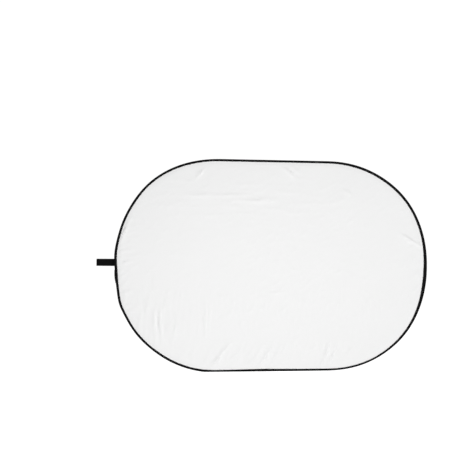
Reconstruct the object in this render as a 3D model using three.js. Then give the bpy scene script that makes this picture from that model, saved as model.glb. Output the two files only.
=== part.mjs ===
// Collapsible reflector disc, about 60 x 90 cm: two cloth faces sewn back to back inside a sprung
// steel hoop, bound round the edge with folded tape, with a webbing hanging loop at the left end.
//
// Units are millimetres and +Z is up. The disc stands upright in the XZ plane with its centre at
// the origin. The white face looks along -Y and the silver face along +Y.
//
// The hoop folds in half about the Z axis. Every piece that crosses the fold line is made in three
// sections: left, right and a narrow flexing section in between.
import * as THREE from "three";

// ---- Driving dimensions ----
const HALF_LENGTH = 450; // outside the binding, along X
const HALF_HEIGHT = 300; // outside the binding, along Z
const HALF_STRAIGHT = 150; // straight run of the top and bottom edges, each side of the middle
const FULLNESS = 2.2; // exponent of the ends: 2 is an ellipse, more is squarer

const CLOTH = 0.6; // thickness of each face
const CLEAR = 0.3; // gap kept between neighbouring pieces
const FACE_INSET = 3.4; // cloth edge, inwards from the outline
const FACE_FOLD_HALF = 3.2; // half width of the flexing strip of each face

const RIM_FOLD_HALF = 14; // half width of the flexing sections of the rim
const BAND_WIDTH = 3.5; // spring steel strip, along Y
const BAND_THICKNESS = 0.6;
const BAND_INSET = 1.6; // strip's outer side, inwards from the outline

const SLEEVE_WALL = 0.4; // crimped tube over the strip's two ends
const SLEEVE_LENGTH = 30;
const JOINT_HEIGHT = -33; // middle of the hoop's joint, on the left end
const JOINT_GAP = 1; // between the strip's two ends

const TAPE = 0.6; // thickness of the binding tape
const TAPE_DEPTH = 9.5; // how far the tape's legs reach inwards
const CASING_HALF = 3.35; // half thickness of the tape where it wraps the strip
const CASING_DEPTH = 3.4;
const LEG_START = 5.4; // where the legs lie flat on the cloth
const LAP_LENGTH = 36; // tape end lapped over the joint

const THREAD = 0.5;
const SEAM_INSET = 7.4;

const STRAP_HEIGHT = 6; // middle of the strap above the disc's centre line
const STRAP_WIDTH = 20;
const STRAP_LENGTH = 49; // hinge line to the tip of the loop
const STRAP_HALF = 7.5; // half thickness of the open loop near its tip
const WEBBING = 1.4;
const ROOT_HALF = 0.95; // half thickness where the two layers are pressed together
const ROOT_START = 0.4; // from the hinge line to the loop's first section
const ROOT_HOLD = 7; // from the hinge line to where the two layers part
const ROOT_GAP_HALF = 0.15; // half the gap where they part
const LEAVE = 0.45; // how long the loop's sides stay narrow, as a share of their length
const ARRIVE = 0.5; // how long they run straight into the round tip, in the same way
const STRAP_HINGE = 2.2; // hinge line, outwards from the left tip
const ANCHOR_REACH = 9; // strap end sewn down on the back of the binding
const ANCHOR_PROUD = 0.6; // the same piece, past the edge
const ANCHOR_THICKNESS = 1.6;
const TACK_WIDTH = 4.4;
const TACK_MARGIN = 2; // bare webbing above and below the bar tack
const TACK_TURNS = 15;

// ---- Materials ----
const material = (color, roughness, metalness = 0) =>
  new THREE.MeshStandardMaterial({ color, roughness, metalness });
const whiteCloth = material(0xf1f1f0, 0.75);
const silverCloth = material(0x8d8f92, 0.42, 0.6);
const blackTape = material(0x101011, 0.85);
const blackWebbing = material(0x0c0c0d, 0.9);
const blackThread = material(0x151516, 0.7);
const springSteel = material(0x8f959c, 0.3, 1);
const zincSteel = material(0xb5b8bb, 0.35, 1);

const disc = new THREE.Group();

function add(name, geometry, itsMaterial) {
  const mesh = new THREE.Mesh(geometry, itsMaterial);
  mesh.name = name;
  disc.add(mesh);
  return mesh;
}

// ---- Outline ----
// The whole outline: straight along the top and bottom, with a superelliptic end on each side. It
// starts at the middle of the top edge and runs anticlockwise, as seen from the white side.
class Outline extends THREE.Curve {
  constructor() {
    super();
    this.arcLengthDivisions = 4000;
  }
  getPoint(t, target = new THREE.Vector3()) {
    const half = Math.floor(t * 2) % 2;
    const [x, z] = this.leftHalf(t * 2 - Math.floor(t * 2));
    return half ? target.set(-x, 0, -z) : target.set(x, 0, z);
  }
  // From the top middle, round the left end, to the bottom middle.
  leftHalf(t) {
    const endShare = 0.75;
    const straightShare = (1 - endShare) / 2;
    if (t < straightShare) return [(-HALF_STRAIGHT * t) / straightShare, HALF_HEIGHT];
    if (t > 1 - straightShare) return [(-HALF_STRAIGHT * (1 - t)) / straightShare, -HALF_HEIGHT];
    const angle = (Math.PI * (t - straightShare)) / endShare;
    const across = HALF_LENGTH - HALF_STRAIGHT;
    const reach = (Math.sin(angle) / across) ** FULLNESS;
    const rise = Math.abs(Math.cos(angle) / HALF_HEIGHT) ** FULLNESS;
    const r = (reach + rise) ** (-1 / FULLNESS);
    return [-HALF_STRAIGHT - r * Math.sin(angle), r * Math.cos(angle)];
  }
}
const outline = new Outline();
const PERIMETER = outline.getLength();

const TANGENT_REACH = 0.5; // distance each side over which a direction is measured

// A stretch of the outline between two distances along it. Its section's x axis points to the
// front and its y axis points outwards.
class Stretch extends THREE.Curve {
  constructor(from, to) {
    super();
    this.from = from;
    this.to = to;
  }
  getPoint(t, target = new THREE.Vector3()) {
    const share = (this.from + t * (this.to - this.from)) / PERIMETER;
    return outline.getPointAt(share - Math.floor(share), target);
  }
  getPointAt(t, target) {
    return this.getPoint(t, target);
  }
  outward(t) {
    const step = TANGENT_REACH / Math.abs(this.to - this.from);
    const along = this.getPoint(t + step).sub(this.getPoint(t - step)).normalize();
    return new THREE.Vector3(along.z, 0, -along.x);
  }
  computeFrenetFrames(segments) {
    const stations = Array.from({ length: segments + 1 }, (_, i) => i / segments);
    return {
      normals: stations.map(() => new THREE.Vector3(0, -1, 0)),
      binormals: stations.map((t) => this.outward(t)),
    };
  }
}

// The stretches that the rim is made in, as distances from the middle of the top edge.
const TOP = 0;
const LEFT_TIP = PERIMETER / 4;
const BOTTOM = PERIMETER / 2;
const left = [TOP + RIM_FOLD_HALF, BOTTOM - RIM_FOLD_HALF];
const right = [BOTTOM + RIM_FOLD_HALF, PERIMETER - RIM_FOLD_HALF];
const foldTop = [TOP - RIM_FOLD_HALF + CLEAR, TOP + RIM_FOLD_HALF - CLEAR];
const foldBottom = [BOTTOM - RIM_FOLD_HALF + CLEAR, BOTTOM + RIM_FOLD_HALF - CLEAR];
const aroundJoint = (length) => [
  LEFT_TIP - JOINT_HEIGHT - length / 2,
  LEFT_TIP - JOINT_HEIGHT + length / 2,
];

// ---- Sections of the rim ----
// Points are (towards the front, inwards from the outline).
const sectionPoints = (points) => points.map(([front, inset]) => new THREE.Vector2(front, -inset));
const sectionOf = (points) => new THREE.Shape(sectionPoints(points));

const rectangle = (front0, front1, inset0, inset1) => [
  [front0, inset0],
  [front1, inset0],
  [front1, inset1],
  [front0, inset1],
];

// One half of a folded tape, mirrored to close the other half.
const folded = (half) => [...half, ...half.map(([front, inset]) => [-front, inset]).reverse()];

const legOutside = CLOTH + CLEAR / 2 + CLEAR + TAPE;
const bindingSection = sectionOf(
  folded([
    [CASING_HALF - TAPE, TAPE],
    [CASING_HALF - TAPE, CASING_DEPTH - TAPE / 2],
    [legOutside - TAPE, LEG_START - TAPE / 2],
    [legOutside - TAPE, TAPE_DEPTH],
    [legOutside, TAPE_DEPTH],
    [legOutside, LEG_START],
    [CASING_HALF, CASING_DEPTH],
    [CASING_HALF, TAPE],
    [CASING_HALF - TAPE, 0],
  ].reverse()),
);

const lapInside = CASING_HALF + CLEAR;
const lapSection = sectionOf(
  folded([
    [lapInside + TAPE, -CLEAR - TAPE],
    [lapInside + TAPE, TAPE_DEPTH + TAPE],
    [lapInside, TAPE_DEPTH + TAPE],
    [lapInside, -CLEAR],
  ]),
);

const bandSection = sectionOf(
  rectangle(-BAND_WIDTH / 2, BAND_WIDTH / 2, BAND_INSET, BAND_INSET + BAND_THICKNESS),
);

const sleeveHalf = BAND_WIDTH / 2 + CLEAR;
const sleeveAround = (wall) =>
  rectangle(
    -sleeveHalf - wall,
    sleeveHalf + wall,
    BAND_INSET - CLEAR - wall,
    BAND_INSET + BAND_THICKNESS + CLEAR + wall,
  );
const sleeveSection = sectionOf(sleeveAround(SLEEVE_WALL));
sleeveSection.holes.push(new THREE.Path(sectionPoints(sleeveAround(0).reverse())));

const threadInside = legOutside + CLEAR;
const seamInsets = [SEAM_INSET, SEAM_INSET + THREAD];
const needleSection = sectionOf(rectangle(threadInside, threadInside + THREAD, ...seamInsets));
const bobbinSection = sectionOf(rectangle(-threadInside - THREAD, -threadInside, ...seamInsets));

// A section swept along a stretch of the outline.
function rimPiece(name, section, [from, to], steps, itsMaterial) {
  const geometry = new THREE.ExtrudeGeometry(section, {
    extrudePath: new Stretch(from, to),
    steps,
    bevelEnabled: false,
  });
  return add(name, geometry, itsMaterial);
}

// How many straight steps stand for a curved stretch.
const HALF_RIM_STEPS = 72;
const UPPER_BAND_STEPS = 40;
const LOWER_BAND_STEPS = 36;
const FOLD_STEPS = 2;
const SLEEVE_STEPS = 4;
const LAP_STEPS = 6;
const TIP_SEGMENTS = 14;

function rimPieces(base, section, itsMaterial) {
  rimPiece(`${base}_left`, section, left, HALF_RIM_STEPS, itsMaterial);
  rimPiece(`${base}_right`, section, right, HALF_RIM_STEPS, itsMaterial);
  rimPiece(`${base}_fold_top`, section, foldTop, FOLD_STEPS, itsMaterial);
  rimPiece(`${base}_fold_bottom`, section, foldBottom, FOLD_STEPS, itsMaterial);
}

// ---- Cloth faces ----
// The outline of half a face, inset from the edge. Its straight side runs along the fold.
function halfFace(middle) {
  const from = middle - PERIMETER / 4 + FACE_FOLD_HALF;
  const to = middle + PERIMETER / 4 - FACE_FOLD_HALF;
  const edge = new Stretch(from, to);
  return Array.from({ length: HALF_RIM_STEPS + 1 }, (_, i) => {
    const t = i / HALF_RIM_STEPS;
    const p = edge.getPoint(t).addScaledVector(edge.outward(t), -FACE_INSET);
    return new THREE.Vector2(p.x, p.z);
  });
}

function foldStrip() {
  const half = FACE_FOLD_HALF - CLEAR;
  const top = HALF_HEIGHT - FACE_INSET;
  return [
    new THREE.Vector2(-half, -top),
    new THREE.Vector2(half, -top),
    new THREE.Vector2(half, top),
    new THREE.Vector2(-half, top),
  ];
}

// A flat cloth piece whose front side is the given distance in front of the middle plane.
function clothPiece(name, outline, front, itsMaterial) {
  const geometry = new THREE.ExtrudeGeometry(new THREE.Shape(outline), {
    depth: CLOTH,
    bevelEnabled: false,
  });
  geometry.translate(0, 0, front - CLOTH);
  geometry.rotateX(Math.PI / 2);
  return add(name, geometry, itsMaterial);
}

function clothPieces(base, front, itsMaterial) {
  clothPiece(`${base}_left`, halfFace(LEFT_TIP), front, itsMaterial);
  clothPiece(`${base}_right`, halfFace(LEFT_TIP + PERIMETER / 2), front, itsMaterial);
  clothPiece(`${base}_fold`, foldStrip(), front, itsMaterial);
}

// ---- Spring steel hoop: one strip whose ends meet in a crimped sleeve at the left end ----
function hoop() {
  const [upperEnd, lowerEnd] = aroundJoint(JOINT_GAP);
  rimPiece("hoop_band_left_upper", bandSection, [left[0], upperEnd], UPPER_BAND_STEPS, springSteel);
  rimPiece("hoop_band_left_lower", bandSection, [lowerEnd, left[1]], LOWER_BAND_STEPS, springSteel);
  rimPiece("hoop_band_right", bandSection, right, HALF_RIM_STEPS, springSteel);
  rimPiece("hoop_band_fold_top", bandSection, foldTop, FOLD_STEPS, springSteel);
  rimPiece("hoop_band_fold_bottom", bandSection, foldBottom, FOLD_STEPS, springSteel);
  rimPiece("hoop_joint_sleeve", sleeveSection, aroundJoint(SLEEVE_LENGTH), SLEEVE_STEPS, zincSteel);
}

// ---- Hanging strap ----
// A teardrop in the XY plane that hangs off the hinge line at its origin: it starts narrow, swells
// along an S curve on each side and ends in a round tip.
function teardrop(shape, start, rootHalf, fullHalf, tip) {
  const centre = fullHalf - tip;
  const easeOut = -start + LEAVE * (centre + start);
  const easeIn = centre - ARRIVE * (centre + start);
  shape.moveTo(-start, -rootHalf);
  shape.lineTo(-start, rootHalf);
  shape.bezierCurveTo(easeOut, rootHalf, easeIn, fullHalf, centre, fullHalf);
  shape.absarc(centre, 0, fullHalf, Math.PI / 2, 1.5 * Math.PI, false);
  shape.bezierCurveTo(easeIn, -fullHalf, easeOut, -rootHalf, -start, -rootHalf);
  return shape;
}

const anchorMiddle = lapInside + ANCHOR_THICKNESS / 2;

// The free loop, which swings about the edge of its sewn end.
function strapLoop() {
  const loop = teardrop(new THREE.Shape(), ROOT_START, ROOT_HALF, STRAP_HALF, STRAP_LENGTH);
  const innerHalf = STRAP_HALF - WEBBING;
  const innerTip = STRAP_LENGTH - WEBBING;
  loop.holes.push(teardrop(new THREE.Path(), ROOT_HOLD, ROOT_GAP_HALF, innerHalf, innerTip));
  const webbing = new THREE.ExtrudeGeometry(loop, {
    depth: STRAP_WIDTH,
    bevelEnabled: false,
    curveSegments: TIP_SEGMENTS,
  });
  const strap = add("strap_loop", webbing, blackWebbing);
  strap.position.set(-HALF_LENGTH - STRAP_HINGE, anchorMiddle, STRAP_HEIGHT - STRAP_WIDTH / 2);
}

// Both ends of the webbing, laid on the back of the binding.
function strapAnchor() {
  const length = ANCHOR_REACH + ANCHOR_PROUD;
  const ends = new THREE.BoxGeometry(length, ANCHOR_THICKNESS, STRAP_WIDTH);
  const anchor = add("strap_anchor", ends, blackWebbing);
  anchor.position.set(-HALF_LENGTH - ANCHOR_PROUD + length / 2, anchorMiddle, STRAP_HEIGHT);
}

// One zigzag of heavy thread across the sewn end.
function strapBarTack() {
  const tack = new THREE.Shape(zigzag(TACK_TURNS, STRAP_WIDTH - 2 * TACK_MARGIN, TACK_WIDTH, THREAD));
  const geometry = new THREE.ExtrudeGeometry(tack, { depth: THREAD, bevelEnabled: false });
  geometry.rotateX(Math.PI / 2);
  const barTack = add("strap_bar_tack", geometry, blackThread);
  const back = lapInside + ANCHOR_THICKNESS + CLEAR;
  barTack.position.set(-HALF_LENGTH + ANCHOR_REACH / 2, back + THREAD, STRAP_HEIGHT);
}

// A ribbon of thread that zigzags up, as a closed outline. Its middle is at the origin.
function zigzag(turns, height, width, thread) {
  const corner = (i, side) => {
    const middle = ((i % 2 ? 1 : -1) * (width - thread)) / 2;
    return new THREE.Vector2(middle + (side * thread) / 2, height * (i / turns - 0.5));
  };
  const up = Array.from({ length: turns + 1 }, (_, i) => corner(i, 1));
  const down = Array.from({ length: turns + 1 }, (_, i) => corner(turns - i, -1));
  return [...up, ...down];
}

// ---- The whole disc ----
clothPieces("white_face", CLEAR / 2 + CLOTH, whiteCloth);
clothPieces("silver_face", -CLEAR / 2, silverCloth);
hoop();
rimPieces("binding_tape", bindingSection, blackTape);
rimPiece("binding_lap", lapSection, aroundJoint(LAP_LENGTH), LAP_STEPS, blackTape);
rimPieces("needle_thread", needleSection, blackThread);
rimPieces("bobbin_thread", bobbinSection, blackThread);
strapLoop();
strapAnchor();
strapBarTack();

export default disc;
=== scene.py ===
"""Looks of the collapsible reflector disc: cloth faces, bound rim, stitches and hanging strap.

Lengths are metres. The white face looks along -Y, the silver face along +Y and +Z is up.
"""

import math

import bpy
import numpy as np
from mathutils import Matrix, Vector, kdtree


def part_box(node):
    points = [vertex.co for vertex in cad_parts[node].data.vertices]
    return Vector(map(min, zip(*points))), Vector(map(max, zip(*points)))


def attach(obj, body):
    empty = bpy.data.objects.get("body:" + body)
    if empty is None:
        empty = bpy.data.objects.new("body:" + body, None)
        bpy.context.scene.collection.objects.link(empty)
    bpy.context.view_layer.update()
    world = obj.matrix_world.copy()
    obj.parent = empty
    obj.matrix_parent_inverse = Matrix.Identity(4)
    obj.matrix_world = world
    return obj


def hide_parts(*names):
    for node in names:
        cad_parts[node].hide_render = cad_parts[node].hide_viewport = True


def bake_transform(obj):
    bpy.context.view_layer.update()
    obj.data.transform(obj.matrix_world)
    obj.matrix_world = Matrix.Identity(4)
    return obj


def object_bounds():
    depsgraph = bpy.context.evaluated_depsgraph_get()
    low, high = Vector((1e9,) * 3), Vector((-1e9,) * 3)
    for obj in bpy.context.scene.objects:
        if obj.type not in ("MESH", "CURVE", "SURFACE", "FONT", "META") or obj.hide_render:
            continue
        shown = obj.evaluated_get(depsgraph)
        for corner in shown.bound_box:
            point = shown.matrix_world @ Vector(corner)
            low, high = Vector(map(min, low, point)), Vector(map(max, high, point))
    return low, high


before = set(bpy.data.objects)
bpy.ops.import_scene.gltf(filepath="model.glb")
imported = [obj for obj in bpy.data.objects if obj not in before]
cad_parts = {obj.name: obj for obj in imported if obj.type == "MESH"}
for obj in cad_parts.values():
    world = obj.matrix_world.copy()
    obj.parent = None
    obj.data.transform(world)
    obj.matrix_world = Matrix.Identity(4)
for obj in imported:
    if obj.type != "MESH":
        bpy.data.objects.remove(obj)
cad_low, cad_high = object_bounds()

MM = 0.001

# ---- Sizes, from the frame where it holds them ----
tape_low, tape_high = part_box("binding_tape_left")
loop_low, loop_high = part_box("strap_loop")
anchor_low, anchor_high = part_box("strap_anchor")
tack_low, tack_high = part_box("strap_bar_tack")
sleeve_low, sleeve_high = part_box("hoop_joint_sleeve")
lap_low, lap_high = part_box("binding_lap")
band_low, band_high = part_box("hoop_band_right")

HALF_LENGTH = -tape_low.x
HALF_HEIGHT = tape_high.z
HALF_STRAIGHT = 150 * MM
FULLNESS = 2.2

CLOTH_EDGE = 3.6 * MM  # cloth edge, inwards from the outline
FACE_OFFSET = 0.6 * MM  # from the middle plane to a face where it is flat
SILVER_CELL = 2.2 * MM
WHITE_CELL = 3.4 * MM
WHITE_RUN_IN = 11 * MM  # from the tape's edge to where a face's relief is at its full height
SILVER_RUN_IN = 9 * MM
CREASE_SCALE = 0.0016  # metres: a bend of 16 mm radius is 0.1; it scales the painted shade in valleys and painted highlight on crests
CREASE_ROUNDS = 3  # how often the creases are evened out


# ---- Outline of the disc ----
def outline_points(count=3000):
    """The closed outline, anticlockwise from the top middle as seen from the white side."""
    angle = np.linspace(0, np.pi, count)
    across = HALF_LENGTH - HALF_STRAIGHT
    reach = (np.sin(angle) / across) ** FULLNESS
    rise = (np.abs(np.cos(angle)) / HALF_HEIGHT) ** FULLNESS
    r = (reach + rise) ** (-1 / FULLNESS)
    left_end = np.column_stack([-HALF_STRAIGHT - r * np.sin(angle), r * np.cos(angle)])
    top = [[0, HALF_HEIGHT]]
    return np.vstack([top, left_end, -left_end, top])


# The sprung hoop is never quite true: how far it stands out, where along it, and reach, in metres.
WAVER = [
    (0.0030, 0.60, 0.04), (0.0030, 0.74, 0.03), (-0.0018, 0.45, 0.06), (-0.0018, 0.90, 0.06),
    (0.0025, 1.06, 0.07), (-0.0014, 1.60, 0.07), (0.0030, 1.90, 0.12), (-0.0022, 2.19, 0.09),
]


def bump_at(s, centre, reach):
    """A smooth bump, 1 at a distance centre along the rim, that falls off over a reach each side."""
    off = np.mod(s - centre + PERIMETER / 2, PERIMETER) - PERIMETER / 2
    return np.exp(-((off / reach) ** 2))


def lengths_along(points):
    """Distance from the first point to each, along the line through them."""
    return np.concatenate([[0], np.cumsum(np.hypot(*np.diff(points, axis=0).T))])


def wavering(points, along):
    """The outline moved in and out a little along its normals."""
    slope = np.gradient(points, along, axis=0)
    outward = np.column_stack([slope[:, 1], -slope[:, 0]])
    out = sum(height * bump_at(along, centre, reach) for height, centre, reach in WAVER)
    return points + out[:, None] * outward


true_outline = outline_points()
ALONG = lengths_along(true_outline)
PERIMETER = ALONG[-1]
LEFT_TIP = PERIMETER / 4  # distance along the rim to its left end
OUTLINE = wavering(true_outline, ALONG)
TANGENT_REACH = 2 * MM  # distance each side over which the rim's direction is measured
RIM_SAMPLES = 1800


def unit(vectors):
    return vectors / np.linalg.norm(vectors, axis=1)[:, None]


def outline_at(s):
    wrapped = np.mod(s, PERIMETER)
    return np.column_stack([np.interp(wrapped, ALONG, OUTLINE[:, k]) for k in (0, 1)])


def rim_point(s):
    """Points on the outline at distances s along it, and their outward normals, as (x, z)."""
    tangent = unit(outline_at(s + TANGENT_REACH) - outline_at(s - TANGENT_REACH))
    return outline_at(s), np.column_stack([tangent[:, 1], -tangent[:, 0]])


def rim_distance(x, z):
    """How far inside the outline each point is, and where along the rim it is nearest."""
    stations = np.linspace(0, PERIMETER, RIM_SAMPLES, endpoint=False)
    place, outward = rim_point(stations)
    tree = kdtree.KDTree(len(stations))
    for i, (px, pz) in enumerate(place):
        tree.insert((px, pz, 0), i)
    tree.balance()
    nearest = np.array([tree.find((px, pz, 0))[1] for px, pz in zip(x.ravel(), z.ravel())])
    nearest = nearest.reshape(x.shape)
    gap = place[nearest] - np.stack([x, z], axis=-1)
    return (gap * outward[nearest]).sum(axis=-1), stations[nearest]


# ---- Noise ----
LATTICE_SIZE = 64
NOISE_GAIN = 1.6  # brings the noise to about -1 to 1


def noise(u, v, seed):
    """Smooth gradient noise, from about -1 to 1, over a unit lattice."""
    turn = np.random.RandomState(seed).uniform(-1, 1, (LATTICE_SIZE, LATTICE_SIZE)) * math.pi
    n = len(turn)
    i, j = np.floor(u).astype(int), np.floor(v).astype(int)
    fu, fv = u - i, v - j

    def corner(a, b):
        angle = turn[(i + a) % n, (j + b) % n]
        return np.cos(angle) * (fu - a) + np.sin(angle) * (fv - b)

    def ease(f):
        return f**3 * (f * (6 * f - 15) + 10)

    low = corner(0, 0) * (1 - ease(fu)) + corner(1, 0) * ease(fu)
    high = corner(0, 1) * (1 - ease(fu)) + corner(1, 1) * ease(fu)
    return NOISE_GAIN * (low * (1 - ease(fv)) + high * ease(fv))


def smoothstep(value, low, high):
    """0 below low, 1 above high and a smooth rise between them."""
    t = np.clip((value - low) / (high - low), 0, 1)
    return t * t * (3 - 2 * t)


# ---- Cloth relief ----
FOLD_TAPER = 1.2  # how quickly a fold narrows towards its ends
FOLD_END_WIDTH = 0.6  # its width at the ends, as a share of its width in the middle
FOLD_LEAN = 0.45  # how much wider it is on one side than on the other
FINE_TURN = 14  # degrees between a patch's ripples and the fine ones on them
FINE_LENGTH, FINE_WIDTH, FINE_RISE = 0.45, 0.5, 0.3  # the fine ones, as a share of the others
FINE_SEED = 50
ZIGZAG_ANGLES = (84, 102, 44, -48)  # degrees
ZIGZAG_STRETCH = 0.3  # each of a crushed patch's zigzags is this much longer than the one before
ZIGZAG_WANDER = 1.5  # how far a zigzag wanders, in pitches
WANDER_CELLS = (2.3, 1.6)  # pitches over which it does so, in x and z
PUCKER_PITCH = 26 * MM
PUCKER_DRIFT = 2.2  # how many pitches the puckers are out of step
PUCKER_SHARP = 2
DRIFT_LENGTH = 90 * MM  # along the rim, from one change of step to the next
DEPTH_LENGTH = 45 * MM  # and from one change of depth to the next


def patch(x, z, centre, reach, power=2):
    """1 in the middle of a patch and fading out round it. Its centre and reach are in mm."""
    cx, cz = np.array(centre) * MM
    rx, rz = np.array(reach) * MM
    return np.exp(-(((x - cx) / rx) ** power) - ((z - cz) / rz) ** power)


def swell(x, z, cell, seed):
    """Soft rises from about 0 to 2 that are about a cell apart, in mm."""
    return 1 + noise(x / (cell * MM), z / (cell * MM), seed)


def warped(x, z, reach, cell, seed):
    """The points moved about a little, so that straight folds wander."""
    dx = noise(x / cell, z / cell, seed)
    dz = noise(x / cell, z / cell, seed + 1)
    return x + reach * dx, z + reach * dz


def fold(x, z, start, end, width, height):
    """One soft fold between two points. It leans to one side and tapers out at both ends."""
    (ax, az), (bx, bz) = start, end
    length = math.hypot(bx - ax, bz - az)
    ux, uz = (bx - ax) / length, (bz - az) / length
    t = ((x - ax) * ux + (z - az) * uz) / length
    off = (x - ax) * uz - (z - az) * ux
    taper = np.clip(4 * t * (1 - t), 0, 1) ** FOLD_TAPER
    spread = width * (FOLD_END_WIDTH + (1 - FOLD_END_WIDTH) * taper)
    spread *= 1 + FOLD_LEAN * np.tanh(off / width)
    return height * taper / (1 + (off / spread) ** 2) ** 2


def folded(x, z, folds):
    """Summed heights of a list of folds given in mm."""
    height = np.zeros_like(x)
    for start, end, width, rise in folds:
        height += fold(x, z, np.array(start) * MM, np.array(end) * MM, width * MM, rise * MM)
    return height


def ripples(x, z, angle, length, width, seed, sharp=2.0):
    """Crests from 0 to 1 that run one way: stretched noise, drawn out to narrow tops."""
    turn = math.radians(angle)
    along = x * math.cos(turn) + z * math.sin(turn)
    across = z * math.cos(turn) - x * math.sin(turn)
    low, high = math.exp(-sharp), math.exp(sharp)
    wave = noise(along / length, across / width, seed)
    return (np.exp(sharp * wave) - low) / (high - low)


def rippled(x, z, patches, seed):
    """Summed patches of ripples. Each fades out with the distance from its centre. All in mm."""
    height = np.zeros_like(x)
    for i, (centre, reach, angle, length, width, rise) in enumerate(patches):
        length, width = length * MM, width * MM
        crests = ripples(x, z, angle, length, width, seed + i)
        fine_length, fine_width = FINE_LENGTH * length, FINE_WIDTH * width
        fine = ripples(x, z, angle + FINE_TURN, fine_length, fine_width, seed + i + FINE_SEED)
        height += rise * MM * patch(x, z, centre, reach) * (crests + FINE_RISE * fine)
    return height


def crumpled(x, z, centre, reach, cell, depth, seed):
    """A crushed patch: zigzag folds in several directions, which leave small facets. All in mm."""
    height = np.zeros_like(x)
    for i, angle in enumerate(ZIGZAG_ANGLES):
        turn = math.radians(angle)
        pitch = cell * MM * (1 + ZIGZAG_STRETCH * i)
        wander = noise(x / (WANDER_CELLS[0] * pitch), z / (WANDER_CELLS[1] * pitch), seed + i)
        place = (x * math.cos(turn) + z * math.sin(turn)) / pitch + ZIGZAG_WANDER * wander
        height += np.abs(np.mod(place, 2) - 1)
    return depth * MM * patch(x, z, centre, reach, power=4) * height


def puckers(s, inset, reach, height, seed):
    """Small gathers that run in from the seam and fade, at uneven distances and depths."""
    row = np.zeros_like(s)  # the noises are cut along a row of their lattice, each along another
    place = s / PUCKER_PITCH + PUCKER_DRIFT * noise(s / DRIFT_LENGTH, row, seed)
    wave = np.exp(PUCKER_SHARP * (noise(place, row + 0.5, seed + 3) - 1))
    depth = reach * (0.6 + 0.5 * noise(s / DEPTH_LENGTH, row + 7.3, seed + 1))
    return height * wave * np.exp(-inset / depth)


# Single folds of the silver face: where they start and end, half width and height, in mm.
SILVER_FOLDS = [
    ((-351, 226), (-364, 62), 6.0, 3.8),
    ((-352, 224), (-328, 74), 6.0, 3.4),
    ((-252, 222), (-200, 54), 7.5, 4.8),
    ((-238, 214), (-188, 64), 7.5, -3.4),
    ((-420, 140), (-416, 50), 6.0, 2.8),
    ((-446, 20), (-206, 114), 16.0, 6.4),
    ((-448, 40), (-222, 138), 8.5, -4.2),
    ((-448, 8), (-300, 60), 7.0, -4.2),
    ((-446, -2), (-338, 24), 6.0, 2.6),
    ((-362, 24), (-236, 48), 6.0, -2.2),
    ((-448, -26), (-220, -24), 6.5, -3.0),
    ((-332, 4), (-180, 6), 6.0, -2.4),
    ((-448, -56), (-316, -88), 7.5, -3.4),
    ((-180, 262), (-50, 188), 7.0, 3.0),
    ((-112, 290), (-26, 170), 9.0, -6.2),
    ((-96, 280), (-12, 162), 7.5, 3.6),
    ((-66, 254), (46, 162), 8.0, -4.6),
    ((150, 184), (302, 262), 12.0, 4.6),
    ((158, 206), (280, 268), 8.0, -4.6),
    ((230, 226), (334, 200), 8.5, -4.4),
    ((60, 274), (190, 262), 7.5, -4.0),
    ((410, 42), (288, 20), 10.0, 2.2),
    ((440, -16), (310, -64), 10.0, -2.6),
]

# Patches of ripples: centre, reach, angle in degrees, length and width of a crest, height.
SILVER_RIPPLES = [
    ((-360, -150), (170, 130), 2, 44, 13, 6.6),
    ((-200, -200), (160, 110), -6, 56, 15, 5.8),
    ((-330, 130), (140, 110), 80, 90, 19, 4.0),
    ((-110, 220), (140, 90), -52, 60, 20, 6.8),
    ((150, 250), (230, 64), 6, 34, 19, 2.6),
    ((190, 205), (200, 60), 150, 44, 22, 3.4),
    ((0, 30), (300, 170), 66, 120, 34, 3.2),
    ((60, 0), (300, 170), 104, 90, 28, 1.8),
    ((90, -220), (300, 90), 10, 66, 17, 5.8),
    ((350, 0), (120, 230), 80, 70, 22, 4.2),
    ((0, 0), (520, 360), 25, 38, 15, 1.1),
]

# Faint folds and ripples of the white face, in the same form.
WHITE_FOLDS = [
    ((-448, -118), (-364, -206), 5.5, 4.0),
    ((-434, -150), (-342, -236), 5, 2.4),
    ((-322, -106), (-320, -220), 4.6, 3.4),
    ((-336, -130), (-338, -222), 5, 2.0),
    ((-292, -150), (-296, -220), 6, 1.2),
    ((-196, -92), (-194, -212), 4.2, 2.6),
    ((-184, -100), (-184, -208), 4.2, 1.6),
    ((-112, -206), (-180, -288), 6, 3.0),
    ((-84, -216), (-140, -290), 5, 2.2),
    ((0, -228), (-46, -292), 5, 3.0),
    ((26, -226), (-14, -290), 5, 2.0),
    ((166, -206), (134, -302), 5, 3.6),
    ((192, -206), (150, -302), 5, 2.4),
    ((236, -232), (190, -288), 6, 1.2),
    ((368, 98), (442, 52), 4.6, 3.6),
    ((380, 82), (442, 44), 5, -2.4),
    ((-452, 34), (-410, 124), 5.5, 3.8),
    ((-444, 80), (-410, 128), 5, 1.6),
    ((-196, 276), (-228, 236), 5, 2.6),
    ((22, 284), (62, 246), 5, 3.0),
    ((44, 286), (78, 262), 5, 1.6),
    ((-176, 196), (-54, 200), 5, 1.2),
    ((-156, 180), (-24, 184), 5, 1.0),
    ((196, 222), (230, 200), 6, 1.4),
    ((-20, -78), (36, -76), 4, 1.2),
]

WHITE_RIPPLES = [
    ((-350, -150), (100, 90), 84, 60, 15, 4.2),
    ((40, -130), (380, 80), 88, 40, 12, 2.4),
    ((0, -262), (340, 40), 55, 44, 14, 4.4),
    ((-80, 190), (260, 60), 2, 80, 14, 2.0),
    ((-430, 20), (40, 180), 20, 30, 11, 3.0),
    ((420, -20), (50, 180), 60, 34, 12, 2.6),
    ((0, 0), (520, 360), 40, 24, 10, 1.3),
]


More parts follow.
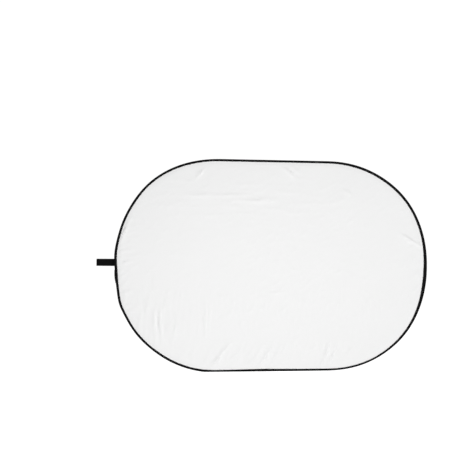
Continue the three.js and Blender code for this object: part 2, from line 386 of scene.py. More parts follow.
def silver_relief(x, z, inset, s):
    """Height of the silver face over its flat plane. It is loose, and crushed along the top."""
    fx, fz = warped(x, z, 6 * MM, 74 * MM, 27)
    wx, wz = warped(x, z, 8 * MM, 58 * MM, 21)
    wx, wz = warped(wx, wz, 1.6 * MM, 19 * MM, 23)
    height = folded(fx, fz, SILVER_FOLDS) + rippled(wx, wz, SILVER_RIPPLES, 400)
    height += crumpled(wx, wz, centre=(165, 252), reach=(235, 62), cell=18, depth=2.5, seed=90)
    loose = 4.2 * patch(x, z, centre=(170, 200), reach=(240, 80))
    loose += 2.6 * swell(x, z, 120, 33) + 0.7 * swell(wx, wz, 47, 34)
    height += loose * MM * smoothstep(inset, 8 * MM, 80 * MM)
    return height + puckers(s, inset, 30 * MM, 2.2 * MM, 51)


def white_relief(x, z, inset, s):
    """Height of the white face over its flat plane."""
    wx, wz = warped(x, z, 4 * MM, 70 * MM, 61)
    wx, wz = warped(wx, wz, 1.5 * MM, 21 * MM, 65)
    height = folded(wx, wz, WHITE_FOLDS) + rippled(wx, wz, WHITE_RIPPLES, 700)
    height += 0.5 * MM * swell(x, z, 130, 63)
    return height + puckers(s, inset, 24 * MM, 0.9 * MM, 81)


# ---- Mesh helpers ----
def mesh_piece(name, points, faces, uvs, material):
    """A smooth mesh object. uvs, in metres of cloth, is one pair per vertex or per face corner."""
    mesh = bpy.data.meshes.new(name)
    mesh.from_pydata(np.asarray(points).tolist(), [], faces)
    uvs = np.asarray(uvs, np.float32)
    if len(uvs) == len(mesh.vertices):
        corner = np.empty(len(mesh.loops), np.int32)
        mesh.loops.foreach_get("vertex_index", corner)
        uvs = uvs[corner]
    layer = mesh.uv_layers.new(name="Cloth")
    layer.data.foreach_set("uv", uvs.ravel())
    mesh.shade_smooth()
    mesh.materials.append(material)
    piece = bpy.data.objects.new(name, mesh)
    bpy.context.scene.collection.objects.link(piece)
    return piece


def set_attribute(piece, name, values):
    layer = piece.data.attributes.new(name, "FLOAT", "POINT")
    layer.data.foreach_set("value", np.asarray(values, np.float32))


ZERO_TURN = 0.8 * MM
TUCK = 1 * MM  # how far under the tape a face starts to rise


def above_zero(height):
    """Keeps a relief from sinking through the other face, with a smooth turn near zero."""
    return (height + np.sqrt(height**2 + ZERO_TURN**2)) / 2


def trimmed_grid(x, z, inset, s):
    """Faces of a square lattice inside the cloth's edge. Its border points move onto the edge.

    Gives the points kept, the faces between them and which points of the lattice they are.
    """
    nx, nz = x.shape
    cell = x[1, 0] - x[0, 0]
    kept = inset > CLOTH_EDGE - 0.55 * cell  # a point just past the edge can move onto it
    i, j = np.nonzero(kept[:-1, :-1] & kept[1:, :-1] & kept[1:, 1:] & kept[:-1, 1:])
    faces = np.column_stack([i * nz + j, (i + 1) * nz + j, (i + 1) * nz + j + 1, i * nz + j + 1])
    uses = np.bincount(faces.ravel(), minlength=nx * nz)
    border = (uses > 0) & (uses < 4)
    points = np.column_stack([x.ravel(), z.ravel()])
    _, outward = rim_point(s.ravel()[border])
    points[border] += outward * (inset.ravel()[border] - CLOTH_EDGE)[:, None]
    used = np.nonzero(uses)[0]
    place = np.full(nx * nz, -1)
    place[used] = np.arange(len(used))
    return points[used], place[faces], used


def neighbours(values):
    """The mean of each lattice point's four neighbours."""
    padded = np.pad(values, 1, mode="edge")
    return (padded[:-2, 1:-1] + padded[2:, 1:-1] + padded[1:-1, :-2] + padded[1:-1, 2:]) / 4


def curvature(height, cell):
    """How sharply the relief bends, positive in its valleys, in 1/m, evened out a little."""
    bend = 4 * (neighbours(height) - height) / cell**2
    for _ in range(CREASE_ROUNDS):
        bend = (bend + neighbours(bend)) / 2
    return bend


def cloth_face(name, cell, relief, side, tape_depth, run_in, material):
    """One cloth face. side is -1 for the front and 1 for the back. It is flat at the tape."""
    xs = np.arange(-HALF_LENGTH, HALF_LENGTH + cell, cell)
    zs = np.arange(-HALF_HEIGHT, HALF_HEIGHT + cell, cell)
    x, z = np.meshgrid(xs, zs, indexing="ij")
    inset, s = rim_distance(x, z)
    free = smoothstep(inset, tape_depth(s) - TUCK, tape_depth(s) + run_in)
    height = above_zero(relief(x, z, inset, s)) * free
    points, faces, used = trimmed_grid(x, z, inset, s)
    if side > 0:
        faces = faces[:, ::-1]
    back = side * (FACE_OFFSET + height.ravel()[used])
    place = np.column_stack([points[:, 0], back, points[:, 1]])
    piece = mesh_piece(name, place, faces.tolist(), points, material)
    # The relief's bend, which the silver face's material turns into painted shade in valleys and
    # painted highlight on crests.
    set_attribute(piece, "crease", curvature(height, cell).ravel()[used] * CREASE_SCALE)
    return piece


def sweep(name, stations, sections, material, closed=True):
    """A closed section carried along the rim. sections(s) gives (inset, back) for each station."""
    place, outward = rim_point(stations)
    section = np.array([sections(s) for s in stations])
    inset, back = section[..., 0], section[..., 1]
    x = place[:, 0, None] - outward[:, 0, None] * inset
    z = place[:, 1, None] - outward[:, 1, None] * inset
    points = np.stack([x, back, z], axis=-1)
    n, m = inset.shape
    u = np.append(stations, stations[0] + PERIMETER)
    v = lengths_along(np.column_stack([inset[0], back[0]])[np.arange(m + 1) % m])
    i, j = np.meshgrid(np.arange(n if closed else n - 1), np.arange(m), indexing="ij")
    i, j = i.ravel(), j.ravel()
    corners = [(i, j), (i, j + 1), (i + 1, j + 1), (i + 1, j)]
    faces = np.column_stack([a % n * m + b % m for a, b in corners]).tolist()
    uvs = [np.stack([np.column_stack([u[a], v[b]]) for a, b in corners], axis=1).reshape(-1, 2)]
    if not closed:
        for row, order in ((0, -1), (n - 1, 1)):
            faces.append([row * m + k for k in range(m)][::order])
            uvs.append(np.column_stack([inset[row], back[row]])[::order])
    return mesh_piece(name, points.reshape(-1, 3), faces, np.vstack(uvs), material)


# ---- Bound rim ----
TAPE_WIDTH = 16.4 * MM  # of both legs together
FRONT_DEPTH = 6.7  # mm
DEPTH_WANDER = 0.35  # mm
WANDER_LENGTH = 70 * MM  # along the rim
# Where the tape sits askew: how much deeper in mm, where along the rim and reach, in metres.
ASKEW = [
    (2.4, 1.86, 0.17), (1.9, 1.85, 0.06), (-1.1, 1.50, 0.16), (1.0, 0.63, 0.07), (1.1, 2.19, 0.13),
    (1.1, 1.23, 0.06),
]


def front_tape_depth(s):
    """How far the tape reaches in on the white side: it sits a little askew round the rim."""
    depth = FRONT_DEPTH + sum(more * bump_at(s, centre, reach) for more, centre, reach in ASKEW)
    return (depth + DEPTH_WANDER * noise(s / WANDER_LENGTH, np.zeros_like(s), 91)) * MM


def back_tape_depth(s):
    """The tape's other leg, on the silver side."""
    return TAPE_WIDTH - front_tape_depth(s)


# The tape's casing over the steel, as (inset, back) in mm: its outer side from the middle of the
# edge to the leg, and its inner side from the leg back to the edge.
CASING_OUTSIDE = [
    (0.0, 0.0), (0.05, 1.2), (0.35, 2.2), (1.0, 2.75), (1.9, 2.9), (2.9, 2.75), (3.7, 2.25),
    (4.4, 1.75), (5.1, 1.52),
]
CASING_INSIDE = [
    (4.9, 1.0), (4.2, 1.25), (3.5, 1.75), (2.8, 2.15), (1.9, 2.32), (1.1, 2.2), (0.8, 1.7),
    (0.62, 1.0), (0.58, 0.0),
]
LEG_START = 5.1 * MM  # where the casing ends and the flat leg starts
LEG_BACK = 1.5 * MM  # outer side of a leg, from the middle plane
LEG_INSIDE = 0.95 * MM
LEG_ROUND = 0.12 * MM  # the bevel at a leg's end: its length, and its height outside and inside
ROUND_OUTSIDE, ROUND_INSIDE = 0.15 * MM, 0.1 * MM
SHORTEST_LEG = 5.6 * MM


def leg_end(depth):
    return max(depth, SHORTEST_LEG)


def outer_half(depth, grow=0.0):
    """Half section of the tape's outer side, from the middle of the edge to the end of a leg."""
    points = [(inset * MM - grow, back * MM + grow) for inset, back in CASING_OUTSIDE]
    points[0] = (points[0][0], 0.0)
    end, outer = leg_end(depth), LEG_BACK + grow
    leg = [((LEG_START + end) / 2, outer), (end - LEG_ROUND, outer), (end, outer - ROUND_OUTSIDE)]
    return points + leg


def inner_half(depth, grow=0.0):
    """The same half section's inner side, from the end of the leg back to the edge."""
    end, inner = leg_end(depth), LEG_INSIDE + grow
    leg = [(end, inner + ROUND_INSIDE), (end - LEG_ROUND, inner), ((LEG_START + end) / 2, inner)]
    points = [(inset * MM - grow, back * MM + grow) for inset, back in CASING_INSIDE]
    points[-1] = (points[-1][0], 0.0)
    return leg + points


def mirrored(half):
    return [(inset, -back) for inset, back in half]


def tape_section(s, grow=0.0):
    """The folded tape's closed section at a distance along the rim, as (inset, back)."""
    s = np.array([s])
    front, back = front_tape_depth(s)[0], back_tape_depth(s)[0]
    outer_front, inner_front = mirrored(outer_half(front, grow)), mirrored(inner_half(front, grow))
    outer = outer_front[::-1] + outer_half(back, grow)[1:]
    return outer + inner_half(back, grow) + inner_front[::-1][1:]


def rim_stations(pitch, start=0.0, length=None):
    """Distances along a stretch of the rim, or along all of it without its end."""
    whole = length is None
    length = PERIMETER if whole else length
    return start + np.linspace(0, length, round(length / pitch), endpoint=not whole)


# ---- Materials ----
class Nodes:
    """Shorthand for building the nodes of one material or of the world."""

    def __init__(self, name=None, tree=None):
        if tree is None:
            self.material = bpy.data.materials.new(name)
            self.material.use_nodes = True
            tree = self.material.node_tree
            self.shader = tree.nodes["Principled BSDF"]
        self.tree = tree

    def add(self, kind, inputs=None, **settings):
        """A new shader node with its inputs fed or set."""
        node = self.tree.nodes.new("ShaderNode" + kind)
        for key, value in settings.items():
            setattr(node, key, value)
        for key, value in (inputs or {}).items():
            self.put(node.inputs[key], value)
        return node

    def put(self, socket, value):
        """Feeds a socket from another socket or node, or sets it to a value."""
        if isinstance(value, bpy.types.NodeSocket):
            self.tree.links.new(value, socket)
        elif isinstance(value, bpy.types.Node):
            self.tree.links.new(value.outputs[0], socket)
        else:
            socket.default_value = value

    def math(self, operation, a, b=0.0):
        node = self.add("Math", operation=operation)
        self.put(node.inputs[0], a)
        self.put(node.inputs[1], b)
        return node.outputs[0]

    def cloth_uv(self, scale=(1, 1, 1)):
        """Cloth coordinates in metres, scaled."""
        uv = self.add("UVMap", uv_map="Cloth")
        return self.add("Mapping", {"Vector": uv.outputs[0], "Scale": scale}).outputs[0]

    def along_across(self, scale=1.0):
        """The two cloth coordinates, in metres times a scale."""
        parts = self.add("SeparateXYZ", {"Vector": self.cloth_uv((scale, scale, scale))})
        return parts.outputs[0], parts.outputs[1]

    def cloud(self, scale, detail, roughness=0.5, distortion=0.0, stretch=(1, 1, 1)):
        """Soft noise over the cloth. scale is in features for each metre."""
        settings = {"Scale": scale, "Detail": detail, "Roughness": roughness, "Distortion": distortion}
        return self.add("TexNoise", {"Vector": self.cloth_uv(stretch), **settings}).outputs[0]

    def wave(self, value, length):
        """Sine of a cloth coordinate, with this wavelength."""
        return self.math("SINE", self.math("MULTIPLY", value, 2 * math.pi / length))

    def ribs(self, value, pitch):
        """Round ribs, one in each pitch: the size of a sine of twice that wavelength."""
        return self.math("ABSOLUTE", self.wave(value, 2 * pitch))

    def blend(self, a, share_a, b, share_b):
        """Two values added together in these shares."""
        return self.math("ADD", self.math("MULTIPLY", a, share_a), self.math("MULTIPLY", b, share_b))

    def ramp(self, value, *stops):
        """A colour ramp: stops are (position, grey or colour)."""
        node = self.add("ValToRGB", {"Fac": value})
        elements = node.color_ramp.elements
        while len(elements) < len(stops):
            elements.new(0.5)
        for element, (position, colour) in zip(elements, stops):
            element.position = position
            grey = isinstance(colour, (int, float))
            element.color = (colour, colour, colour, 1) if grey else (*colour, 1)
        return node.outputs[0]

    def bump(self, height, distance, strength=1.0, normal=None):
        node = self.add("Bump", {"Height": height, "Distance": distance, "Strength": strength})
        if normal is not None:
            self.put(node.inputs["Normal"], normal)
        return node.outputs[0]

    def finish(self, **values):
        """Feeds or sets the shader's sockets and gives the material."""
        for key, value in values.items():
            self.put(self.shader.inputs[key.replace("_", " ")], value)
        return self.material


def plain_weave(n, pitch):
    """Height of a plain weave: warp and weft threads that pass over each other in turn."""
    along, across = n.along_across(1 / pitch)
    return n.math("MULTIPLY", n.wave(along, 2), n.wave(across, 2))


def white_cloth():
    """Satin-smooth white nylon with a fine weave and very slight toning."""
    n = Nodes("white_nylon")
    cloud = n.cloud(11.0, 5.0, roughness=0.6)
    colour = n.ramp(cloud, (0.3, (0.862, 0.863, 0.862)), (0.7, (0.872, 0.873, 0.872)))
    crumple = n.cloud(95.0, 3.0, distortion=0.4, stretch=(1, 0.35, 1))
    weave = n.bump(plain_weave(n, 0.55 * MM), 0.05 * MM, 0.35)
    normal = n.bump(crumple, 0.35 * MM, 0.5, weave)
    rough = n.ramp(cloud, (0.2, 0.58), (0.8, 0.68))
    return n.finish(
        Base_Color=colour, Roughness=rough, Normal=normal, Specular_IOR_Level=0.3,
        Sheen_Weight=0.1, Sheen_Roughness=0.4,
    )


def silver_cloth():
    """Metallised cloth: a satin grey metal with a fine weave, with painted highlight on its crests and
    painted shade in its creases.
    """
    n = Nodes("silver_lame")
    crease = n.add("Attribute", attribute_name="crease").outputs["Fac"]
    cloud = n.cloud(14.0, 6.0, roughness=0.62)
    grain = n.cloud(900.0, 2.0)
    mottle = n.math("MULTIPLY", n.math("ADD", cloud, grain), 0.25)
    # Painted shade and highlight: valleys darken and crests lighten with how sharply the relief bends.
    tone = n.math("SUBTRACT", mottle, n.math("MULTIPLY", crease, 1.1))
    colour = n.ramp(
        tone, (0.0, (0.06, 0.061, 0.064)), (0.17, (0.43, 0.435, 0.445)), (0.3, (0.64, 0.645, 0.655)),
        (0.55, (0.8, 0.805, 0.81)),
    )
    crumple = n.cloud(70.0, 4.0, distortion=1.2, stretch=(1, 1.6, 1))
    weave = n.bump(plain_weave(n, 0.6 * MM), 0.06 * MM, 0.5)
    normal = n.bump(crumple, 0.7 * MM, 0.4, weave)
    rough = n.ramp(cloud, (0.3, 0.15), (0.7, 0.23))
    return n.finish(Base_Color=colour, Metallic=0.85, Roughness=rough, Normal=normal)


def black_tape():
    """Binding tape with ribs across its length, crossed by fine threads."""
    n = Nodes("black_binding")
    cloud = n.cloud(60.0, 5.0, roughness=0.65)
    along, across = n.along_across()
    ribs = n.blend(n.ribs(along, 0.95 * MM), 1.0, n.wave(across, 0.7 * MM), 0.3)
    tone = n.blend(cloud, 0.7, ribs, 0.25)
    colour = n.ramp(tone, (0.3, (0.0018, 0.0018, 0.002)), (0.75, (0.007, 0.007, 0.0076)))
    rough = n.ramp(cloud, (0.25, 0.62), (0.75, 0.8))
    return n.finish(
        Base_Color=colour, Roughness=rough, Normal=n.bump(ribs, 0.18 * MM, 0.8),
        Specular_IOR_Level=0.08, Sheen_Weight=0.02, Sheen_Roughness=0.5,
    )


def black_webbing():
    """Webbing in a herringbone twill."""
    n = Nodes("black_webbing")
    cloud = n.cloud(120.0, 5.0)
    along, across = n.along_across()
    zigzag = n.math("PINGPONG", across, 2.5 * MM)
    ribs = n.ribs(n.blend(along, 1.0, zigzag, 0.9), 0.9 * MM)
    colour = n.ramp(
        n.blend(cloud, 0.6, ribs, 0.4), (0.3, (0.0014, 0.0014, 0.0016)), (0.8, (0.0055, 0.0055, 0.006))
    )
    rough = n.ramp(cloud, (0.25, 0.66), (0.75, 0.84))
    return n.finish(
        Base_Color=colour, Roughness=rough, Normal=n.bump(ribs, 0.25 * MM, 0.8),
        Specular_IOR_Level=0.06, Sheen_Weight=0.02, Sheen_Roughness=0.5,
    )


def black_thread():
    """Sewing thread with the slanting plies of its twist."""
    n = Nodes("black_thread")
    along, across = n.along_across()
    turn = n.blend(along, 2600.0, across, 6000.0)  # radians for each metre
    ply = n.math("ABSOLUTE", n.math("SINE", turn))
    colour = n.ramp(ply, (0.1, (0.004, 0.004, 0.0045)), (0.9, (0.016, 0.016, 0.017)))
    rough = n.ramp(ply, (0.1, 0.6), (0.9, 0.45))
    normal = n.bump(ply, 0.05 * MM, 0.7)
    return n.finish(Base_Color=colour, Roughness=rough, Normal=normal, Specular_IOR_Level=0.35)


def steel(name, tint, smooth, dull, streak):
    """Bare strip steel with fine streaks along its length. smooth and dull are roughnesses."""
    n = Nodes(name)
    streaks = n.cloud(6.0, 6.0, stretch=(30, streak, 1))
    colour = n.ramp(streaks, (0.3, tuple(0.8 * c for c in tint)), (0.7, tint))
    rough = n.ramp(streaks, (0.3, dull), (0.7, smooth))
    normal = n.bump(streaks, 0.02 * MM, 0.4)
    return n.finish(Base_Color=colour, Metallic=1.0, Roughness=rough, Normal=normal)


WHITE, SILVER, TAPE = white_cloth(), silver_cloth(), black_tape()
WEBBING, THREAD = black_webbing(), black_thread()
SPRING_STEEL = steel("spring_steel", (0.42, 0.45, 0.5), smooth=0.22, dull=0.36, streak=900)
ZINC = steel("zinc_plate", (0.66, 0.67, 0.68), smooth=0.3, dull=0.5, streak=300)


# ---- Pieces ----
def bends(piece, slot, *nodes):
    """The piece stands for CAD nodes, which are hidden, and its placement is baked into its mesh."""
    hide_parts(*nodes)
    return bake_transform(piece)


def rides(piece, slot, *nodes):
    """The piece moves with the left half of the disc and stands for CAD nodes."""
    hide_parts(*nodes)
    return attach(piece, "left_half")


def sections_of(base, *ends):
    return [f"{base}_{end}" for end in ends]


def make_faces():
    white = cloth_face(
        "white_face", WHITE_CELL, white_relief, -1, front_tape_depth, WHITE_RUN_IN, WHITE
    )
    silver = cloth_face(
        "silver_face", SILVER_CELL, silver_relief, 1, back_tape_depth, SILVER_RUN_IN, SILVER
    )
    for face, slot in ((white, "white_cloth"), (silver, "silver_cloth")):
        bends(face, slot, *sections_of(face.name, "left", "right", "fold"))


RIM_ENDS = ("left", "right", "fold_top", "fold_bottom")  # the CAD sections round the rim
TAPE_STEP, BAND_STEP, SLEEVE_STEP, LAP_STEP = 3.2 * MM, 4.5 * MM, 0.9 * MM, 1.2 * MM  # along the rim


def make_binding():
    piece = sweep("binding_tape", rim_stations(TAPE_STEP), tape_section, TAPE)
    bends(piece, "black_tape", *sections_of("binding_tape", *RIM_ENDS))


STEEL_INSET = 1.9 * MM  # middle of the steel strip, inwards from the outline
BAND_THICK = 0.6 * MM
BAND_CORNER = 0.12 * MM
BAND_GAP = 1 * MM  # between the strip's two ends, inside the sleeve
JOINT = LEFT_TIP - (sleeve_low.z + sleeve_high.z) / 2
SLEEVE_THICK = 1.9 * MM
SLEEVE_HALF_WIDTH = 2.42 * MM
SLEEVE_CORNER = 0.35 * MM
CRIMP_DEPTH = 0.22 * MM
CRIMPS = (-0.25, 0.25)  # where the two crimps are, as a share of the sleeve from its middle
CRIMP_REACH = 0.07  # as a share of the sleeve


def strip_section(thickness, half_width, corner):
    """A strip on edge with rounded corners, as (inset, back)."""
    points = []
    for sign_i, sign_b in ((-1, -1), (-1, 1), (1, 1), (1, -1)):
        for part in ((0.0, 1.0), (0.3, 0.3), (1.0, 0.0)):  # how much of the corner is cut each way
            cut_i, cut_b = part if sign_i == sign_b else part[::-1]
            points.append((
                STEEL_INSET + sign_i * (thickness / 2 - corner * cut_i),
                sign_b * (half_width - corner * cut_b),
            ))
    return points


def make_hoop():
    stations = rim_stations(BAND_STEP, JOINT + BAND_GAP / 2, PERIMETER - BAND_GAP)
    section = strip_section(BAND_THICK, (band_high.y - band_low.y) / 2, BAND_CORNER)
    band = sweep("hoop_band", stations, lambda s: section, SPRING_STEEL, closed=False)
    ends = ("left_upper", "left_lower", "right", "fold_top", "fold_bottom")
    bends(band, "spring_steel", *sections_of("hoop_band", *ends))


def make_sleeve():
    """The flat tube over the strip's two ends, crimped at two places."""
    length = sleeve_high.z - sleeve_low.z

    def section(s):
        t = (s - JOINT) / length
        pinch = CRIMP_DEPTH * sum(math.exp(-(((t - c) / CRIMP_REACH) ** 2)) for c in CRIMPS)
        return strip_section(SLEEVE_THICK - pinch, SLEEVE_HALF_WIDTH - pinch, SLEEVE_CORNER)

    stations = rim_stations(SLEEVE_STEP, JOINT - length / 2, length)
    sleeve = sweep("hoop_joint_sleeve_crimped", stations, section, ZINC, closed=False)
    rides(sleeve, "zinc_steel", "hoop_joint_sleeve")


LAP_OUT = 0.62 * MM  # from the tape to the lap over it: the tape's thickness and a little air
HEM_RISE = 0.25 * MM
HEM_PLACE, HEM_REACH = 0.93, 0.05  # as a share of half the lap
LAP_LIFT = 1.3 * MM  # how far it stands off the rim's edge in its middle
LIFT_REACH = 4.5 * MM  # how far in from the edge it does so
LAP_BULGE = 0.12  # how much thicker it is there, as a share


def make_lap():
    """The tape's end, lapped over the hoop's joint. It stands a little loose in its middle."""
    middle = LEFT_TIP - (lap_low.z + lap_high.z) / 2
    length = lap_high.z - lap_low.z

    def section(s):
        t = 2 * (s - middle) / length
        loose = max(0.0, 1 - t * t)
        hem = HEM_RISE * math.exp(-(((abs(t) - HEM_PLACE) / HEM_REACH) ** 2))
        points = []
        for inset, back in tape_section(s, LAP_OUT + hem):
            lift = LAP_LIFT * loose * max(0.0, 1 - max(inset, 0) / LIFT_REACH)
            points.append((inset - lift, back * (1 + LAP_BULGE * loose)))
        return points

    stations = rim_stations(LAP_STEP, middle - length / 2, length)
    rides(sweep("tape_lap", stations, section, TAPE, closed=False), "black_tape", "binding_lap")


END_SHARE = 0.35  # radius that is left at a tube's ends
TINY = 1e-6  # shortest length that still has a direction


def tube_points(path, radius, sides):
    """Rings round a path of points, with narrower ends."""
    path = np.asarray(path, float)
    tangent = unit(np.gradient(path, axis=0))
    side = np.cross(tangent, (0, 1, 0))
    length = np.linalg.norm(side, axis=1)[:, None]
    side = np.where(length > TINY, side / np.maximum(length, TINY), (1, 0, 0))
    up = np.cross(tangent, side)
    angle = np.linspace(0, 2 * np.pi, sides, endpoint=False)
    size = np.full(len(path), radius)
    size[[0, -1]] *= END_SHARE
    ring = side[:, None] * np.cos(angle)[None, :, None] + up[:, None] * np.sin(angle)[None, :, None]
    return (path[:, None] + ring * size[:, None, None]).reshape(-1, 3)


def tube_faces(rings, sides, first=0):
    """Faces between rings of points, closed at both ends. first is the number of the first point."""
    faces = []
    for i in range(rings - 1):
        for j in range(sides):
            k = (j + 1) % sides
            a, b = first + i * sides, first + (i + 1) * sides
            faces.append([a + j, a + k, b + k, b + j])
    last = first + (rings - 1) * sides
    faces.append([first + j for j in range(sides)][::-1])
    faces.append([last + j for j in range(sides)])
    return faces


STITCH = 3.1 * MM
STITCH_GAP = 0.7 * MM
THREAD_RADIUS = 0.24 * MM
THREAD_SIDES = 6
THREAD_LIFT = 0.1 * MM  # over the leg
SEAM_SETBACK = 1.5 * MM  # from the leg's edge to its stitches
LEAST_SEAM_INSET = 4.7 * MM  # clear of the steel strip
STITCH_STEPS = np.array([0.0, 0.12, 0.5, 0.88, 1.0])
STITCH_RISE = np.array([-0.22, 0.02, 0.16, 0.02, -0.22]) * MM  # its ends dip into the tape


def stitches(name, depth, side):
    """A row of single stitches, set back from the tape's edge. side is -1 for the front."""
    count = int(PERIMETER / STITCH)
    back = side * (LEG_BACK + STITCH_RISE + THREAD_LIFT)
    girth = np.tile(np.arange(THREAD_SIDES) * THREAD_RADIUS, len(STITCH_STEPS))
    points, faces, uvs = [], [], []
    for i in range(count):
        s = i * PERIMETER / count + STITCH_STEPS * (STITCH - STITCH_GAP)
        place, outward = rim_point(s)
        inset = np.maximum(np.maximum(depth(s), SHORTEST_LEG) - SEAM_SETBACK, LEAST_SEAM_INSET)
        place = place - outward * inset[:, None]
        path = np.column_stack([place[:, 0], back, place[:, 1]])
        points.append(tube_points(path, THREAD_RADIUS, THREAD_SIDES))
        faces += tube_faces(len(path), THREAD_SIDES, i * len(path) * THREAD_SIDES)
        uvs.append(np.column_stack([np.repeat(s, THREAD_SIDES), girth]))
    return mesh_piece(name, np.vstack(points), faces, np.vstack(uvs), THREAD)


def make_seams():
    needle = stitches("needle_stitches", front_tape_depth, -1)
    bends(needle, "black_thread", *sections_of("needle_thread", *RIM_ENDS))
    bobbin = stitches("bobbin_stitches", back_tape_depth, 1)
    bends(bobbin, "black_thread", *sections_of("bobbin_thread", *RIM_ENDS))


WEBBING_THICK = 1.15 * MM
WEBBING_STEP = 0.7 * MM
WEBBING_RIB = 0.9 * MM
RIB_HEIGHT = 0.05 * MM
EDGE_POWER = 10  # how square the webbing's edges are
UNEVEN_SHARE = 0.012  # of the webbing's width
UNEVEN_LENGTH = 11 * MM  # along it, for each radian
LAYER_HALF = 0.62 * MM  # from between the sewn layers to the middle of one
LOOP_HALF = 5.9 * MM  # the same in the open loop
PARTING = 5 * MM  # from the hinge line to where the layers part
TIP_MARGIN = 0.7 * MM  # from the loop's tip to the middle of the webbing there
SEWN_KNOTS, SIDE_KNOTS, TIP_KNOTS = 12, 40, 14
ACROSS_KNOTS = 15


def webbing_path():
    """The strap's middle line (x, y), from one sewn end, round the loop, to the other."""
    parting = loop_high.x - PARTING
    tip = loop_low.x + TIP_MARGIN + LOOP_HALF  # centre of the round tip
    t = np.linspace(0, 1, SIDE_KNOTS)[1:]
    turn = np.linspace(0, np.pi / 2, TIP_KNOTS)[1:]
    sewn = np.column_stack([np.linspace(anchor_high.x, parting, SEWN_KNOTS), [LAYER_HALF] * SEWN_KNOTS])
    swell = LAYER_HALF + (LOOP_HALF - LAYER_HALF) * smoothstep(t, 0, 1)
    open_side = np.column_stack([parting + (tip - parting) * t, swell])
    round_tip = np.column_stack([tip - LOOP_HALF * np.sin(turn), LOOP_HALF * np.cos(turn)])
    half = np.vstack([sewn, open_side, round_tip])
    path = np.vstack([half, half[::-1][1:] * (1, -1)])
    path[:, 1] = (anchor_low.y + anchor_high.y) / 2 - path[:, 1]
    return path


def webbing_ring():
    """The webbing's section, from -1 to 1 across its width and its thickness."""
    across = np.linspace(-1, 1, ACROSS_KNOTS)
    top = np.column_stack([across, np.sqrt(np.clip(1 - across**EDGE_POWER, 0, 1))])
    return np.vstack([top, top[::-1][1:-1] * (1, -1)])


def make_strap():
    """Webbing folded into a loop, with rounded edges and a slightly uneven width."""
    path = webbing_path()
    along = lengths_along(path)
    s = np.linspace(0, along[-1], int(along[-1] / WEBBING_STEP))
    path = np.column_stack([np.interp(s, along, path[:, k]) for k in (0, 1)])
    tangent = unit(np.gradient(path, axis=0))
    normal = np.column_stack([-tangent[:, 1], tangent[:, 0]])
    ring = webbing_ring()
    ribbed = 1 + RIB_HEIGHT / WEBBING_THICK * np.sin(s / WEBBING_RIB * math.pi)
    half = WEBBING_THICK / 2 * ring[:, 1] * ribbed[:, None]
    uneven = 1 + UNEVEN_SHARE * np.sin(s / UNEVEN_LENGTH)
    across = ring[:, 0] * (loop_high.z - loop_low.z) / 2
    x = path[:, 0, None] + normal[:, 0, None] * half
    y = path[:, 1, None] + normal[:, 1, None] * half
    z = (loop_low.z + loop_high.z) / 2 + across * uneven[:, None]
    points = np.stack([x, y, z], axis=-1).reshape(-1, 3)
    uvs = np.stack(np.broadcast_arrays(s[:, None], across), axis=-1).reshape(-1, 2)
    strap = mesh_piece("hanging_strap", points, tube_faces(len(s), len(ring)), uvs, WEBBING)
    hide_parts("strap_loop", "strap_anchor")
    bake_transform(strap)


TACK_TURNS = 15
TACK_RADIUS = 0.3 * MM
TACK_SIDES = 8
TACK_RISE = 0.12 * MM  # of a thread's middle over the webbing
TACK_DIP = 0.1 * MM
TACK_TURN = 0.12 * MM  # half the width of its turns at the sides
TACK_STEP = 2.2 * MM  # of thread from point to point, for its texture
TACK_GIRTH_STEP = 0.2 * MM


def make_bar_tack():
    """A dense zigzag of thread over the strap's sewn end."""
    sides = (tack_low.x, tack_high.x)
    back = anchor_high.y + TACK_RISE
    step = (tack_high.z - tack_low.z) / TACK_TURNS
    path = []
    for i in range(TACK_TURNS + 1):
        z = tack_low.z + step * i
        for turn in (-TACK_TURN, TACK_TURN):
            path.append((sides[i % 2], back - TACK_DIP, z + turn))
        if i < TACK_TURNS:
            path.append((sum(sides) / 2, back + TACK_RISE, z + step / 2))
    along = np.repeat(np.arange(len(path)) * TACK_STEP, TACK_SIDES)
    girth = np.tile(np.arange(TACK_SIDES) * TACK_GIRTH_STEP, len(path))
    points, faces = tube_points(path, TACK_RADIUS, TACK_SIDES), tube_faces(len(path), TACK_SIDES)
    tack = mesh_piece("bar_tack", points, faces, np.column_stack([along, girth]), THREAD)
    rides(tack, "black_thread", "strap_bar_tack")


make_faces()
make_hoop()
make_sleeve()
make_binding()
make_lap()
make_seams()
make_strap()
make_bar_tack()


# ---- Stage, light and camera ----
FLOOR_REACH = 9.0
FLOOR_GAP = 0.2 * MM  # under the lowest point of the disc


def make_floor():
    """A pale floor for the camera. It casts no shadow, and the world's light stands for its bounce."""
    mesh = bpy.data.meshes.new("studio_floor")
    level = cad_low.z - FLOOR_GAP
    signs = ((-1, -1), (1, -1), (1, 1), (-1, 1))
    corners = [(x * FLOOR_REACH, y * FLOOR_REACH, level) for x, y in signs]
    mesh.from_pydata(corners, [], [(0, 1, 2, 3)])
    floor = bpy.data.objects.new("studio_floor", mesh)
    bpy.context.scene.collection.objects.link(floor)
    mesh.materials.append(Nodes("studio_floor").finish(
        Base_Color=(0.8, 0.8, 0.8, 1), Roughness=0.9, Specular_IOR_Level=0.1,
        Emission_Color=(1, 1, 1, 1), Emission_Strength=0.95,
    ))
    floor.visible_diffuse = False
    floor.visible_glossy = False
    floor.visible_shadow = False


# The studio's light from each direction, from right against SKY_AXIS (0) to right along it (1):
# a bright pale floor below and to the left, dark walls and a dim ceiling above and to the right.
SKY = [
    (0.0, 0.4), (0.3, 0.6), (0.42, 0.59), (0.5, 0.37), (0.55, 0.13), (0.61, 0.01), (0.8, 0.03),
    (1.0, 0.3),
]
SKY_AXIS = (0.5, 0.0, 0.87)


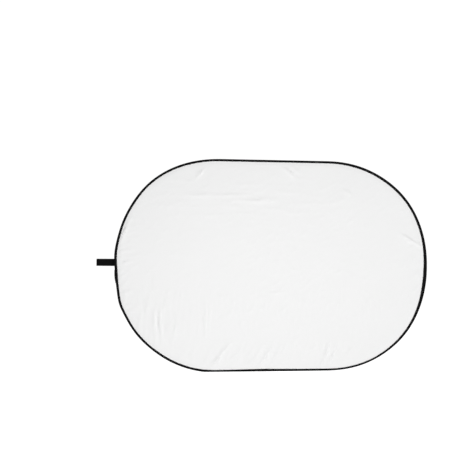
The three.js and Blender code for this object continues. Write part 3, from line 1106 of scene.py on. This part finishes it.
def make_world():
    """White all round to the camera, while things are lit by SKY."""
    world = bpy.data.worlds.new("studio")
    world.use_nodes = True
    bpy.context.scene.world = world
    n = Nodes(tree=world.node_tree)
    rise = n.add("VectorMath", operation="DOT_PRODUCT")
    n.put(rise.inputs[0], n.add("TexCoord").outputs["Generated"])
    n.put(rise.inputs[1], SKY_AXIS)
    height = n.add("MapRange", {"Value": rise.outputs["Value"], "From Min": -1.0})
    white = (1, 1, 1, 1)
    lit = n.add("Background", {"Color": white, "Strength": n.ramp(height.outputs[0], *SKY)})
    seen = n.add("Background", {"Color": white, "Strength": 1.05})
    mix = n.add("MixShader")
    n.put(mix.inputs[0], n.add("LightPath").outputs["Is Camera Ray"])
    n.put(mix.inputs[1], lit)
    n.put(mix.inputs[2], seen)
    n.put(n.tree.nodes["World Output"].inputs["Surface"], mix)


def softbox(name, place, size, power):
    """A rectangular lamp that looks at the middle of the disc."""
    light = bpy.data.lights.new(name, "AREA")
    light.shape = "RECTANGLE"
    light.size, light.size_y = size
    light.energy = power
    lamp = bpy.data.objects.new(name, light)
    lamp.location = place
    lamp.rotation_euler = (-Vector(place)).to_track_quat("-Z", "Y").to_euler()
    bpy.context.scene.collection.objects.link(lamp)


def make_camera():
    """A short telephoto at the disc's height, a little to the side of the strap."""
    yaw, pitch, roll = math.radians(8.8), math.radians(1.37), math.radians(0.37)
    data = bpy.data.cameras.new("camera")
    data.lens, data.sensor_width = 85.0, 36.0
    camera = bpy.data.objects.new("camera", data)
    camera.location = (-0.597, -3.021, 0.029)
    camera.rotation_euler = (math.pi / 2 + pitch, -roll, -yaw)
    bpy.context.scene.collection.objects.link(camera)
    bpy.context.scene.camera = camera


make_floor()
make_world()
softbox("front_key", (2.2, -2.4, 0.0), (0.6, 0.6), 39)
softbox("front_low", (-0.3, -1.6, -0.15), (0.3, 0.3), 12.5)
softbox("back_key", (1.8, 2.6, 2.0), (3.0, 3.0), 12)
softbox("back_strip", (-2.6, 1.6, 0.9), (1.4, 2.4), 10)
make_camera()
bpy.context.scene.view_settings.view_transform = "Standard"
